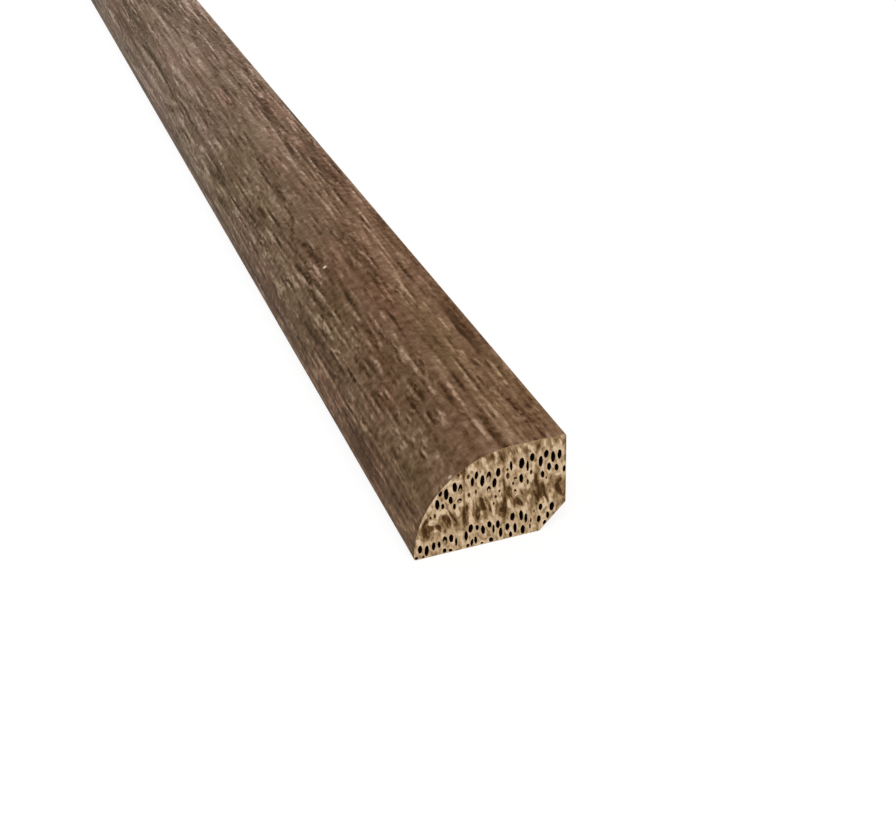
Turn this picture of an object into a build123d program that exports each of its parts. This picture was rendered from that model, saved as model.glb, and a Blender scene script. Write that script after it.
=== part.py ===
"""Shoe moulding: one stick of milled bamboo trim, lying on its wide flat.

The section is a quarter round that runs out level along the top. The back is plumb, the bottom is
flat, and the corner between them is bevelled off so that the stick seats against a wall and a floor
whose corner isn't clean. The stick lies along Y with its toe on the -X side and its back on the +X
side. The origin is under the middle of the stick, on the surface that it lies on.
"""

import os
from math import sqrt

from build123d import *

# Driving dimensions, in millimetres
LENGTH = 1828.8  # six feet, cut square at both ends
WIDTH = 19.05  # from toe to back, three quarters of an inch
HEIGHT = 12.7  # from bottom to top, half an inch
FACE_RADIUS = 12.7  # the round of the show face, half an inch
RELIEF = 3.35  # the bevel's legs, along the bottom and up the back
ARRIS_EASE = 0.25  # sanded radius of the four long arrises

# Places on the section, seen from the near end with X to the right and Z up
TOE_X = -WIDTH / 2
BACK_X = WIDTH / 2
# A section taller than the round's radius has a plumb land under the round.
TOE_LAND = max(0.0, HEIGHT - FACE_RADIUS)
# How far the round reaches in from the toe before it is level with the top.
ROUND_RUN = sqrt(FACE_RADIUS**2 - (HEIGHT - TOE_LAND - FACE_RADIUS) ** 2)


def moulding_section():
    """The milled cross-section as one face, with its arrises eased."""
    toe = (TOE_X, 0)
    land_top = (TOE_X, TOE_LAND)
    round_end = (TOE_X + ROUND_RUN, HEIGHT)
    back_top = (BACK_X, HEIGHT)
    bevel_top = (BACK_X, RELIEF)
    bevel_foot = (BACK_X - RELIEF, 0)

    with BuildSketch(Plane.XZ) as section:
        with BuildLine():
            if TOE_LAND > 0:
                Line(toe, land_top)
            TangentArc(round_end, land_top, tangent=(-1, 0))
            Polyline(round_end, back_top, bevel_top, bevel_foot, toe)
        make_face()
        corners = (toe, back_top, bevel_top, bevel_foot)
        arrises = [section.vertices().sort_by_distance(corner)[0] for corner in corners]
        fillet(arrises, ARRIS_EASE)
    return section.sketch


def shoe_moulding():
    """The whole stick: the section run half the length each way from the middle."""
    return extrude(moulding_section(), amount=LENGTH / 2, both=True)


os.makedirs("parts", exist_ok=True)
export_step(shoe_moulding(), "parts/shoe_moulding.step")
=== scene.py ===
# %% [markdown]
# A stick of shoe moulding is the small trim that hides the joint between a floor and a skirting board.
# This one is milled from a bamboo blank and stained dark on the faces that show, while its sawn ends
# stay pale and full of pores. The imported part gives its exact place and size, so it is loaded first,
# and everything below is worked out from it.

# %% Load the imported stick
import math

import bpy
import numpy as np
from mathutils import Matrix, Vector
from mathutils.geometry import delaunay_2d_cdt


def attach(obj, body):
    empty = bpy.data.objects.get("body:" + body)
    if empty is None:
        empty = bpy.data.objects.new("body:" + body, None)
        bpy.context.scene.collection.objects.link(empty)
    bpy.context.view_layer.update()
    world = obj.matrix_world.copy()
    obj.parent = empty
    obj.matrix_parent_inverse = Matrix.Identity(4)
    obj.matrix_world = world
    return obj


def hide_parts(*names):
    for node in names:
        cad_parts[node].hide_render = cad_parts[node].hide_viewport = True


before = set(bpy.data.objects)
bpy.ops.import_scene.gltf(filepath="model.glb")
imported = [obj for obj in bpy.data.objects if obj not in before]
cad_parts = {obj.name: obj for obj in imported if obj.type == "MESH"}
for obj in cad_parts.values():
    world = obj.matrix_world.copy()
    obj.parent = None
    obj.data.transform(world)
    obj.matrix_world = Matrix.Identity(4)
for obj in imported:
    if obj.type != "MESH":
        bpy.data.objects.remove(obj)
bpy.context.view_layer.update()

MM = 0.001  # one millimetre, in Blender's metres

# %% [markdown]
# The section is a quarter round that runs out level along the top, with a plumb back, a flat bottom and
# a bevel between the two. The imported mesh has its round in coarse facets, so the stick is modelled
# again with a finer skin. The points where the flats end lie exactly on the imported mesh, and from them
# the radius of the round and of the small eased arrises follow, so no size has to be typed in twice.

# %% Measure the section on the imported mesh
SNAP = 0.002  # how near two heights have to be to count as one, in mm

packed_points = np.array([vertex.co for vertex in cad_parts["shoe_moulding"].data.vertices]) / MM
packed_x, packed_y, packed_z = packed_points.T
LENGTH = np.ptp(packed_y)
NEAR_END = packed_y.min()
TOP = packed_z.max()
BACK = packed_x.max()

bottom_flat = packed_x[packed_z < SNAP]
top_flat = packed_x[packed_z > TOP - SNAP]
back_flat = packed_z[packed_x > BACK - SNAP]
EASE = TOP - back_flat.max()
ROUND_END = top_flat.min()  # where the round has run out level

# A circle that is level at the round's end and passes through the toe has this radius.
toe_run = ROUND_END - packed_x.min()
toe_drop = TOP - packed_z[packed_x.argmin()]
ROUND = (toe_run**2 + toe_drop**2) / (2 * toe_drop)
TOE = ROUND_END - ROUND
print(f"length {LENGTH:.1f}, height {TOP:.2f}, round of radius {ROUND:.2f}, eased arrises {EASE:.2f} mm")

# %% [markdown]
# The camera is matched to the photo before anything is modelled, so that each render can be laid
# against it. Its lens, tilt and place were fitted to the corners and long edges of the stick in the
# photo. The place is given from the near corner of the toe, which stands nearest to the camera.

# %% Set up the camera
PICTURE_WIDTH = 896  # pixels
FOCAL_LENGTH = 1391.6  # pixels
AZIMUTH, ELEVATION, ROLL = -18.90, 30.63, -2.08  # degrees
FROM_TOE_CORNER = Vector((-37.72, -124.16, 96.59))  # mm
SENSOR_WIDTH = 36.0  # mm
NEAREST_SEEN = 5.0  # mm from the camera


def turn_about(axis, degrees):
    """A turn about one of the three axes."""
    return Matrix.Rotation(math.radians(degrees), 3, axis)


camera_data = bpy.data.cameras.new("camera")
camera_data.sensor_width = SENSOR_WIDTH
camera_data.lens = SENSOR_WIDTH * FOCAL_LENGTH / PICTURE_WIDTH
camera_data.clip_start = NEAREST_SEEN * MM
camera = bpy.data.objects.new("camera", camera_data)
camera.location = (Vector((TOE, NEAR_END, 0)) + FROM_TOE_CORNER) * MM
look = turn_about("Z", AZIMUTH) @ turn_about("X", 90 - ELEVATION) @ turn_about("Z", ROLL)
camera.rotation_euler = look.to_euler()
bpy.context.scene.collection.objects.link(camera)
bpy.context.scene.camera = camera
bpy.context.scene.view_settings.view_transform = "Standard"
print(f"lens of {camera_data.lens:.1f} mm at {[round(place, 3) for place in camera.location]}")

# %% [markdown]
# Every finish below is a web of shader nodes, and long webs are hard to read as calls that add one node
# at a time. A small class stands for one output of a node: adding or multiplying two of them adds the
# Math node that does it, so a finish reads like the sum that it is.

# %% Write shader maths as sums
class Wire:
    """One output of a node. A sum of wires adds the nodes that work it out."""

    def __init__(self, tree, socket=None):
        self.tree = tree
        self.socket = socket

    def node(self, kind, settings=None, inputs=None, output=0):
        """Add a node: its settings first, then a value or a wire for each socket. Gives one output."""
        made = self.tree.nodes.new(kind)
        for name, value in (settings or {}).items():
            if name == "stops":
                ramp = made.color_ramp.elements
                while len(ramp) < len(value):
                    ramp.new(1.0)
                for stop, (place, colour) in zip(ramp, value):
                    stop.position = place
                    stop.color = colour
            else:
                setattr(made, name, value)
        for socket, value in (inputs or {}).items():
            if isinstance(value, Wire):
                self.tree.links.new(value.socket, made.inputs[socket])
            else:
                made.inputs[socket].default_value = value
        return Wire(self.tree, made.outputs[output] if made.outputs else None)

    def sum_of(self, operation, first, second):
        """A Math node for values, or a Vector Math node where a vector or a colour takes part."""
        terms = [first, second]
        wires = [term for term in terms if isinstance(term, Wire)]
        has_vector = any(wire.socket.type != "VALUE" for wire in wires)
        if not has_vector and not any(isinstance(term, tuple) for term in terms):
            return self.node("ShaderNodeMath", {"operation": operation}, dict(enumerate(terms)))
        terms = [(term,) * 3 if isinstance(term, (int, float)) else term for term in terms]
        return self.node("ShaderNodeVectorMath", {"operation": operation}, dict(enumerate(terms)))

    def __add__(self, other):
        return self.sum_of("ADD", self, other)

    def __radd__(self, other):
        return self.sum_of("ADD", other, self)

    def __sub__(self, other):
        return self.sum_of("SUBTRACT", self, other)

    def __rsub__(self, other):
        return self.sum_of("SUBTRACT", other, self)

    def __mul__(self, other):
        return self.sum_of("MULTIPLY", self, other)

    def __rmul__(self, other):
        return self.sum_of("MULTIPLY", other, self)

    def __abs__(self):
        return self.node("ShaderNodeMath", {"operation": "ABSOLUTE"}, {0: self})

    def step(self, low, high):
        """0 at low and 1 at high, with a smooth step between. A low above its high falls instead."""
        settings = {"interpolation_type": "SMOOTHSTEP"}
        first, last = sorted((low, high))
        rise = self.node("ShaderNodeMapRange", settings, {"Value": self, 1: first, 2: last})
        return rise if low < high else 1 - rise

    def mix(self, other, amount):
        """This colour turned towards another by an amount from 0 to 1."""
        return self.node("ShaderNodeMix", {"data_type": "RGBA"}, {0: amount, 6: self, 7: other}, 2)

    def part(self, axis):
        """One of a vector's three values, by its letter."""
        return self.node("ShaderNodeSeparateXYZ", None, {0: self}, axis)


def new_material(name):
    """A material with an empty node tree, as a wire that its first nodes hang from."""
    material = bpy.data.materials.new(name)
    material.use_nodes = True
    material.node_tree.nodes.clear()
    return material, Wire(material.node_tree)


print("shader maths ready")

# %% [markdown]
# Fine grain shows best under plain soft light. A wide soft sun gives the round a little shape and lies
# evenly along the whole stick, which a lamp close by would not, and the sky fills in the rest. The sky
# and the floor are pure white only to the camera and in reflections, so the background is white
# without more light on the stick, and the floor still takes a soft shadow.

# %% Light the stage
SKY_LEVEL = 0.60
SUN_LEVEL = 0.55  # what the sun adds to a white surface that faces it
SUN_SPREAD = 60  # degrees
SUN_FROM = Vector((-0.12, -0.72, 0.67))
FLOOR_SHADE = 0.30  # the floor's own grey, which the shadow darkens
FLOOR_GLOW = 0.75  # what lifts it to white where the camera sees it
FLOOR_HALF = 6.0  # metres
FLOOR_DROP = 0.00005  # metres below the stick, so that the two faces don't fight
DIRECT_RAYS = ("Is Camera Ray", "Is Glossy Ray", "Is Transmission Ray")


def seen_directly(wire):
    """1 for what the camera sees straight or in a reflection, 0 for light on its way."""
    rays = [wire.node("ShaderNodeLightPath", output=ray) for ray in DIRECT_RAYS]
    return (rays[0] + rays[1] + rays[2]).step(0.0, 1.0)


world = bpy.data.worlds.new("soft_sky")
bpy.context.scene.world = world
world.use_nodes = True
world.node_tree.nodes.clear()
sky = Wire(world.node_tree)
fill = sky.node("ShaderNodeBackground", None, {"Strength": SKY_LEVEL, "Color": (1, 1, 1, 1)})
backdrop = sky.node("ShaderNodeBackground", None, {"Strength": 1.0, "Color": (1, 1, 1, 1)})
both = sky.node("ShaderNodeMixShader", None, {0: seen_directly(sky), 1: fill, 2: backdrop})
sky.node("ShaderNodeOutputWorld", None, {"Surface": both})

sun_data = bpy.data.lights.new("soft_sun", "SUN")
sun_data.energy = SUN_LEVEL * math.pi
sun_data.angle = math.radians(SUN_SPREAD)
sun = bpy.data.objects.new("soft_sun", sun_data)
sun.rotation_euler = SUN_FROM.to_track_quat("Z", "Y").to_euler()
bpy.context.scene.collection.objects.link(sun)

floor_mesh = bpy.data.meshes.new("floor")
ways = ((-1, -1), (1, -1), (1, 1), (-1, 1))
floor_corners = [(x * FLOOR_HALF, y * FLOOR_HALF, -FLOOR_DROP) for x, y in ways]
floor_mesh.from_pydata(floor_corners, [], [(0, 1, 2, 3)])
floor = bpy.data.objects.new("floor", floor_mesh)
floor_material, paper = new_material("white_paper")
matt = paper.node("ShaderNodeBsdfDiffuse", None, {"Color": (FLOOR_SHADE,) * 3 + (1,)})
glow = paper.node("ShaderNodeEmission", None, {"Strength": seen_directly(paper) * FLOOR_GLOW})
lit = paper.node("ShaderNodeAddShader", None, {0: matt, 1: glow})
paper.node("ShaderNodeOutputMaterial", None, {"Surface": lit})
floor_mesh.materials.append(floor_material)
bpy.context.scene.collection.objects.link(floor)
print(f"sky {SKY_LEVEL} and sun {SUN_LEVEL} on a floor {2 * FLOOR_HALF:g} m wide")

# %% [markdown]
# The stick's skin is a net of points: the outline of the section, repeated along the length. The round
# and the top are stained and brushed, and they get about six columns of points to a millimetre, so that
# the grain can be real relief. The faces that go against the wall and the floor need few columns. The
# rows are close together over the stretch that the photo shows, and further apart beyond it.

# %% Draw the section's outline
SHOW_PITCH = 0.16  # mm between columns on the show face
NEAR_STRETCH, NEAR_PITCH, FAR_PITCH = 300.0, 1.25, 11.0  # mm
SHOWN_EASE_STEPS, HIDDEN_EASE_STEPS = 4, 2  # columns round an eased arris
BACK_STEPS, BEVEL_STEPS, BOTTOM_STEPS = 6, 3, 9  # columns on the hidden flats


def straight(start, end, count):
    """Points along a line, without its end."""
    share = np.arange(count)[:, None] / count
    return np.array(start) + share * (np.array(end) - np.array(start))


def bend(centre, radius, first, last, count):
    """Points round an arc from a first to a last angle in degrees, without its end."""
    turn = np.radians(first + (last - first) * np.arange(count) / count)
    return np.array(centre) + radius * np.stack([np.cos(turn), np.sin(turn)], axis=1)


toe_centre = (bottom_flat.min(), EASE)
round_centre = (ROUND_END, TOP - ROUND)
# The toe's ease and the round touch on the line through their centres.
toe_turn = math.degrees(math.atan2(EASE - round_centre[1], toe_centre[0] - round_centre[0]))
round_way = math.radians(toe_turn - 90) * ROUND
foot_centre = (bottom_flat.max(), EASE)
heel_centre = (BACK - EASE, back_flat.min())
bevel_side = EASE * math.sqrt(0.5)
onto_bevel = np.array((bevel_side, -bevel_side))
show_parts = [
    bend(toe_centre, EASE, 270, toe_turn, SHOWN_EASE_STEPS),
    bend(round_centre, ROUND, toe_turn, 90, round(round_way / SHOW_PITCH)),
    straight((ROUND_END, TOP), (top_flat.max(), TOP), round(np.ptp(top_flat) / SHOW_PITCH)),
    bend((BACK - EASE, TOP - EASE), EASE, 90, 0, SHOWN_EASE_STEPS),
]
hidden_parts = [
    straight((BACK, TOP - EASE), (BACK, back_flat.min()), BACK_STEPS),
    bend(heel_centre, EASE, 0, -45, HIDDEN_EASE_STEPS),
    straight(heel_centre + onto_bevel, foot_centre + onto_bevel, BEVEL_STEPS),
    bend(foot_centre, EASE, -45, -90, HIDDEN_EASE_STEPS),
    straight((bottom_flat.max(), 0), (bottom_flat.min(), 0), BOTTOM_STEPS),
]
outline = np.concatenate(show_parts + hidden_parts)
show_count = sum(len(part) for part in show_parts) + 1  # the first point of the back closes the show face
steps = np.linalg.norm(np.roll(outline, -1, axis=0) - outline, axis=1)
girth = np.concatenate([[0], np.cumsum(steps)])  # the way round from the toe, in mm
along_outline = np.roll(outline, -1, axis=0) - np.roll(outline, 1, axis=0)
outward = np.stack([-along_outline[:, 1], along_outline[:, 0]], axis=1)
outward /= np.linalg.norm(outward, axis=1)[:, None]

near_rows = np.arange(0, NEAR_STRETCH, NEAR_PITCH)
far_count = math.ceil((LENGTH - NEAR_STRETCH) / FAR_PITCH)
row_way = np.concatenate([near_rows, np.linspace(NEAR_STRETCH, LENGTH, far_count + 1)])
show_way = girth[:show_count]
print(f"{len(row_way)} rows of {len(outline)} columns round {girth[-1]:.1f} mm, of which {show_count} show")

# %% [markdown]
# Brushed and stained bamboo is streaked along its length. Fibres that stand up have been rubbed paler,
# and the stain has sunk into the grooves between them. Stretched noise alone gives an even blur, so
# each fibre and groove is laid down as one tapered stroke, in clumps, by a seeded draw: above 0 for a
# proud, pale fibre, below 0 for a dark groove. The strokes make the relief, and the stain reads the same
# strokes, so that colour and shape agree.

# %% Lay the strokes of the grain
draw = np.random.default_rng(11)
CLUMP_WAY, CLUMP_WIDE = 9.0, 1.8  # spread of the strokes in a clump, along and across the grain, in mm
GROOVE_BESIDE = 0.36  # mm from the middle of a pale fibre to that of the groove beside it
MARKED_STRETCH = 72.0  # mm from the near end, where most strokes are placed below
STROKES_IN_CLUMP = (3, 10)  # at least the first, and fewer than the second
STROKE_HALF_WIDTH = (0.17, 0.30)  # mm
STROKE_REACH = 3  # half widths from its middle at which a stroke has faded out
FAINTEST = 0.4  # strength of the weakest stroke
SLOPE_SPREAD = 0.015  # mm across to a mm along
PALE_SHARE, GROOVE_SHARE = 0.6, 0.7  # of the strokes, those with a pale fibre and those with a groove
# Each stretch: where it starts and ends, its clumps, their half lengths in mm and their boldest stroke
grain_stretches = [
    (0, MARKED_STRETCH, 55, (2.0, 7.0), 0.8),
    (MARKED_STRETCH, NEAR_STRETCH, 240, (1.3, 6.0), 1.3),
    (NEAR_STRETCH, LENGTH, 900, (12.0, 34.0), 1.3),
]
PATCH_HALF_WIDTH, PATCH_HALF_LENGTH = (0.8, 2.4), (8, 34)  # mm
PATCH_STRENGTH = 0.8  # either way, at most
SMEARS_DRAWN, HUES_DRAWN = 150, 260
STANDS_OUT = 0.3  # strength from which a stroke can be made out

fibres = np.zeros((len(row_way), show_count))  # proud and pale above 0, a groove below
smears = np.zeros((len(row_way), show_count))  # broad dark patches above 0, pale ones below
hues = np.zeros((len(row_way), show_count))  # red above 0, olive below


def lay_stroke(field, across, along, half_width, half_length, strength, slope=0.0, sway=0.0):
    """Add one tapered stroke to a field of rows and columns; the sway bows it sideways."""
    reach = STROKE_REACH * half_width + abs(slope) * half_length + abs(sway)
    rows = slice(*np.searchsorted(row_way, (along - half_length, along + half_length)))
    columns = slice(*np.searchsorted(show_way, (across - reach, across + reach)))
    ahead = (row_way[rows] - along)[:, None]
    middle = across + slope * ahead + sway * np.cos(math.pi * ahead / half_length)
    aside = show_way[columns][None, :] - middle
    taper = 1 - (ahead / half_length) ** 2
    field[rows, columns] += strength * taper * np.exp(-((aside / half_width) ** 2))


def lay_clump(start, end, half_lengths, boldest):
    """Lay a clump of pale fibres and dark grooves, somewhere between two places along the stick."""
    clump_across = draw.uniform(0, show_way[-1])
    clump_along = draw.uniform(start, end)
    for _ in range(draw.integers(*STROKES_IN_CLUMP)):
        across = draw.normal(clump_across, CLUMP_WIDE)
        along = draw.normal(clump_along, CLUMP_WAY)
        half_width = draw.uniform(*STROKE_HALF_WIDTH)
        half_length = draw.uniform(*half_lengths)
        strength = draw.uniform(FAINTEST, boldest)
        slope = draw.normal(0, SLOPE_SPREAD)
        if draw.random() < PALE_SHARE:
            lay_stroke(fibres, across, along, half_width, half_length, strength, slope)
        if draw.random() < GROOVE_SHARE:
            beside = across + GROOVE_BESIDE
            lay_stroke(fibres, beside, along, half_width, half_length, -strength, slope)


for start, end, clumps, half_lengths, boldest in grain_stretches:
    for _ in range(clumps):
        lay_clump(start, end, half_lengths, boldest)
for field, count in ((smears, SMEARS_DRAWN), (hues, HUES_DRAWN)):
    for _ in range(count):
        across, along = draw.uniform(0, show_way[-1]), draw.uniform(0, LENGTH)
        half_width, half_length = draw.uniform(*PATCH_HALF_WIDTH), draw.uniform(*PATCH_HALF_LENGTH)
        strength = draw.uniform(-PATCH_STRENGTH, PATCH_STRENGTH)
        lay_stroke(field, across, along, half_width, half_length, strength)
pale_share, groove_share = np.mean(fibres > STANDS_OUT), np.mean(fibres < -STANDS_OUT)
print(f"pale fibres on {pale_share:.0%} of the show face, grooves on {groove_share:.0%}")

# %% [markdown]
# One knows a piece of wood by its few boldest marks, and a random draw never puts those in the right place.
# They could be painted as a picture, but the relief would know nothing of it. So each mark that stands out
# in the photo is one more stroke, read off from it: across is the way round from the toe, and along is the
# way from the near end.

# %% Add the marks that stand out in the photo
# Each mark: its place across and along, its half width and half length in mm, its strength and its sway
pale_marks = [
    (3.8, 1.2, 0.25, 1.5, 1.4, 0), (4.9, 1.2, 0.25, 1.5, 1.4, 0), (3.7, 12.8, 0.22, 2.2, 1.4, 0),
    (9.2, 12, 0.22, 3.5, 1.1, 0.1), (11.8, 4.6, 0.22, 1.3, 1.2, 0), (11.9, 10, 0.22, 2.2, 1.1, 0),
    (13.4, 12, 0.22, 1.8, 1.7, 0), (15, 10.5, 0.22, 2, 1.2, 0), (15.8, 16.6, 0.22, 2.2, 1.4, 0),
    (17.8, 5.5, 0.2, 2.6, 1.4, 0), (17.9, 13.6, 0.2, 4.8, 1.6, 0), (18.9, 22, 0.22, 2.8, 1.2, 0),
    (15.8, 25, 0.25, 4.5, 1.4, 0), (5.4, 23, 0.28, 2.6, 1.4, 0), (5.4, 28.2, 0.28, 2.3, 1.4, 0),
    (6.4, 30, 0.25, 2.2, 1.2, 0), (4, 32.3, 0.33, 2.9, 1, 0), (12, 28.8, 0.25, 3.2, 1.4, 0.1),
    (12, 39, 0.22, 2.3, 1.6, 0), (10.5, 35.7, 0.22, 1.5, 1.4, 0), (13.4, 41.7, 0.22, 2.8, 1.4, 0),
    (15, 38.4, 0.25, 3.4, 1.2, 0.1), (16.2, 33, 0.25, 1.9, 1.4, 0), (16.4, 38, 0.22, 1.8, 1.6, 0),
    (4.6, 41.2, 0.25, 4.3, 1.4, 0.1), (4.9, 49.6, 0.25, 1.9, 1.2, 0), (8.9, 46.5, 0.25, 5.2, 1.7, 0.1),
    (8.2, 48.8, 0.22, 1.5, 1.4, 0), (3.7, 57.5, 0.25, 2.3, 1.4, 0), (7.4, 63.5, 0.22, 3.7, 1.7, 0),
    (8.8, 62, 0.22, 3.2, 1.2, 0), (11.8, 56.6, 0.22, 3, 1.2, 0.1), (15, 54.6, 0.22, 2.3, 1.2, 0),
    (19.9, 55.5, 0.19, 3.8, 1.4, 0), (22.9, 32, 0.2, 2.8, 1.4, 0), (22.5, 37.5, 0.18, 2.8, 1.2, 0),
    (21.5, 42, 0.18, 2.4, 1.2, 0), (21.9, 48, 0.2, 2.4, 1.4, 0), (23, 62, 0.18, 8, 1.4, 0.1),
    (20.5, 3.2, 0.2, 3.4, 1.2, 0), (21.5, 16.6, 0.18, 2.8, 1.2, 0), (24.5, 13.3, 0.22, 2.2, 1.4, 0),
    (24.6, 17.5, 0.2, 1.4, 1.4, 0), (19.6, 78, 0.2, 9, 1.2, 0.1), (18, 96.5, 0.2, 4.5, 1.1, 0),
    (20.6, 115, 0.22, 6.5, 1.2, 0), (6.4, 148.5, 0.35, 3.5, 1.2, 0), (6.8, 129, 0.3, 4, 1.1, 0),
    (21.2, 177, 0.24, 15, 1.2, 0.1), (17, 167.5, 0.3, 4, 1.2, 0), (23.2, 138.5, 0.25, 5.5, 1.2, 0.2),
    (2.2, 8, 0.24, 2, 1.2, 0), (2.6, 35, 0.24, 3, 1.1, 0), (1.6, 30, 0.24, 2.5, 1.1, 0),
    (2.4, 44, 0.26, 2.4, 1.1, 0), (1.8, 62, 0.26, 2.8, 1.2, 0), (5.6, 70, 0.26, 2.6, 1.3, 0),
    (3.4, 78, 0.28, 3.2, 1.3, 0), (6.2, 86, 0.28, 2.4, 1.3, 0), (4.4, 96, 0.3, 3, 1.3, 0),
    (9.4, 80, 0.26, 2, 1.2, 0), (7.4, 102, 0.28, 2.2, 1.3, 0), (10.6, 97, 0.26, 2, 1.3, 0),
    (2.8, 110, 0.32, 3.4, 1.3, 0), (9, 116, 0.3, 2.2, 1.4, 0), (5.2, 122, 0.34, 3, 1.3, 0),
]
groove_marks = [
    (8.2, 32.3, 0.2, 2.8, 2, 0), (9.3, 49.5, 0.2, 2.8, 1.9, 0), (13.8, 12, 0.2, 1.8, 1.7, 0),
    (12.4, 39, 0.2, 2.3, 1.4, 0), (13.7, 35.5, 0.2, 2.8, 1.4, 0), (18.6, 3.9, 0.18, 4.2, 1.3, 0),
    (17.2, 14.5, 0.25, 3.4, 1, 0), (17.2, 36, 0.22, 6, 1.2, 0.1), (7.7, 63.5, 0.18, 3.5, 1.4, 0),
    (13.2, 62.3, 0.2, 3, 1.7, 0), (18.5, 49, 0.22, 3.2, 1.6, 0.1), (20.3, 55.5, 0.18, 3.8, 1.7, 0),
    (20.6, 60, 0.2, 1.9, 1.7, 0), (23.4, 50, 0.2, 4.4, 2.2, 0), (23.3, 6.6, 0.2, 5.4, 2, 0.1),
    (21.9, 16.5, 0.2, 3.3, 1.4, 0), (19.3, 16.5, 0.2, 3, 1.4, 0), (24, 29, 0.22, 2.6, 1.6, 0),
    (13, 16.6, 0.5, 1.9, 1.4, 0), (23.4, 69, 0.22, 3, 1.4, 0), (13.4, 66, 0.22, 5, 1.4, 0.1),
    (5.4, 143, 0.26, 6, 1.4, 0.2), (8.3, 187, 0.2, 39, 2.2, 0.6), (10.5, 141, 0.26, 18, 1.4, 0.3),
    (12.5, 164, 0.3, 4.5, 1.3, 0), (8.2, 90, 0.26, 6.5, 1.2, 0.1), (14.6, 89.5, 0.4, 4, 1.2, 0),
    (13.5, 118, 0.18, 7, 1.3, 0.1), (16.8, 135.5, 0.45, 4, 1.1, 0), (21, 108, 0.24, 5, 1.2, 0),
    (24.3, 90, 0.3, 6.5, 1.2, 0), (20.9, 152, 0.2, 9, 1.4, 0.1), (5.6, 231, 0.26, 6, 1.3, 0.2),
]
smear_marks = [
    (24.8, 31, 0.8, 14, 1.8, 0), (3, 21.5, 0.9, 5.5, 1.3, 0), (2.2, 52, 0.9, 9, 0.8, 0),
    (8.2, 6.5, 0.7, 8.5, 1.2, 0.1), (8.8, 23, 1.5, 5.5, 0.7, 0), (17.2, 13, 0.6, 5, 0.3, 0),
    (22.5, 133, 1.2, 7, 1.2, 0), (24.6, 146, 1.1, 6, 1.2, 0), (24.6, 162, 1.1, 7, 1.2, 0),
    (25.2, 58, 0.9, 12, 0.8, 0), (9, 172, 7, 38, -0.35, 0), (15, 178, 6, 34, -0.1, 0),
    (25, 6, 0.8, 6, 0.5, 0), (20.5, 76, 1.6, 16, -0.1, 0), (22.3, 32, 1.6, 12, -0.5, 0),
    (21, 4, 1.8, 8, -0.5, 0), (4.3, 40, 1, 10, -0.5, 0), (15.7, 26, 1, 7, -0.4, 0),
    (12.6, 9, 1.4, 10, 0.5, 0), (7, 44, 1, 9, 0.5, 0), (19, 62, 1.2, 9, 0.2, 0),
    (24.9, 100, 1, 32, 0.7, 0), (24.9, 170, 1, 45, 0.8, 0), (1.5, 165, 2, 50, -0.5, 0),
    (16, 110, 3, 30, 0.3, 0), (8, 55, 5, 22, -0.15, 0), (21, 14, 2, 16, -0.2, 0),
]
hue_marks = [
    (1.5, 4, 2, 9, -0.9, 0), (8, 6, 1.3, 9, -0.8, 0), (3, 50, 1.6, 8, -0.8, 0), (12, 43, 2.2, 9, -0.9, 0),
    (6, 64, 1.6, 8, -0.7, 0), (25, 18, 1.2, 7, -0.9, 0), (6, 106, 3, 8, -0.9, 0),
    (12, 116, 2.5, 6, -0.8, 0), (4.5, 142, 2, 9, -0.9, 0), (12, 88, 2, 10, -0.6, 0),
    (10.5, 22, 1.6, 5, 0.8, 0), (8.5, 23, 1.4, 6, 0.7, 0), (16, 59, 2, 10, 0.8, 0),
    (18.5, 44, 0.9, 6, 0.8, 0), (4, 38, 1.2, 8, 0.7, 0), (17, 140, 2.2, 10, 1.2, 0),
    (5, 92, 1.6, 6, 0.7, 0), (15.5, 105, 1.6, 6, 0.7, 0), (13, 5, 3, 12, 0.3, 0), (9, 36, 2.4, 9, 0.5, 0),
    (20.8, 41, 1.4, 8, -0.8, 0), (5, 76, 2.6, 12, 0.6, 0), (8, 128, 2.4, 14, 0.6, 0),
    (22, 4, 1.4, 8, -0.6, 0),
]
hand_marks = [
    (fibres, pale_marks, 1),
    (fibres, groove_marks, -1),
    (smears, smear_marks, 1),
    (hues, hue_marks, 1),
]
for field, marks, side in hand_marks:
    for across, along, half_width, half_length, strength, sway in marks:
        lay_stroke(field, across, along, half_width, half_length, side * strength, sway=sway)
print(f"{sum(len(marks) for _, marks, _ in hand_marks)} marks placed by hand")

# %% [markdown]
# A wire brush wears the soft wood away between the fibres, by a tenth of a millimetre or so. A bump in
# the finish would show that too, but the mesh is also used without its finish, so the relief is real. It
# only goes inwards: the tops of the palest fibres stay on the true surface, the plain wood lies under
# them and the grooves deepest, so the stick doesn't grow.

# %% Sink the relief and knit the sides
FIBRE_DEPTH = 0.04  # mm from the top of a pale fibre down to the plain surface
DEEPEST_GROOVE = -1.5  # strength past which a groove gets no deeper
ARRIS_FADE, END_FADE = 0.8, 3.0  # mm over which the relief fades out, so that the edges stay true

from_arris = np.minimum(show_way, show_way[-1] - show_way)
from_end = np.minimum(row_way, LENGTH - row_way)
fade = (from_arris / ARRIS_FADE).clip(0, 1) * (from_end / END_FADE).clip(0, 1)[:, None]
relief = np.zeros((len(row_way), len(outline)))
relief[:, :show_count] = FIBRE_DEPTH * (fibres.clip(DEEPEST_GROOVE, 1) - 1) * fade
side_points = np.empty(relief.shape + (3,))
side_points[:, :, 0] = outline[:, 0] + outward[:, 0] * relief
side_points[:, :, 1] = NEAR_END + row_way[:, None]
side_points[:, :, 2] = outline[:, 1] + outward[:, 1] * relief

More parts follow.
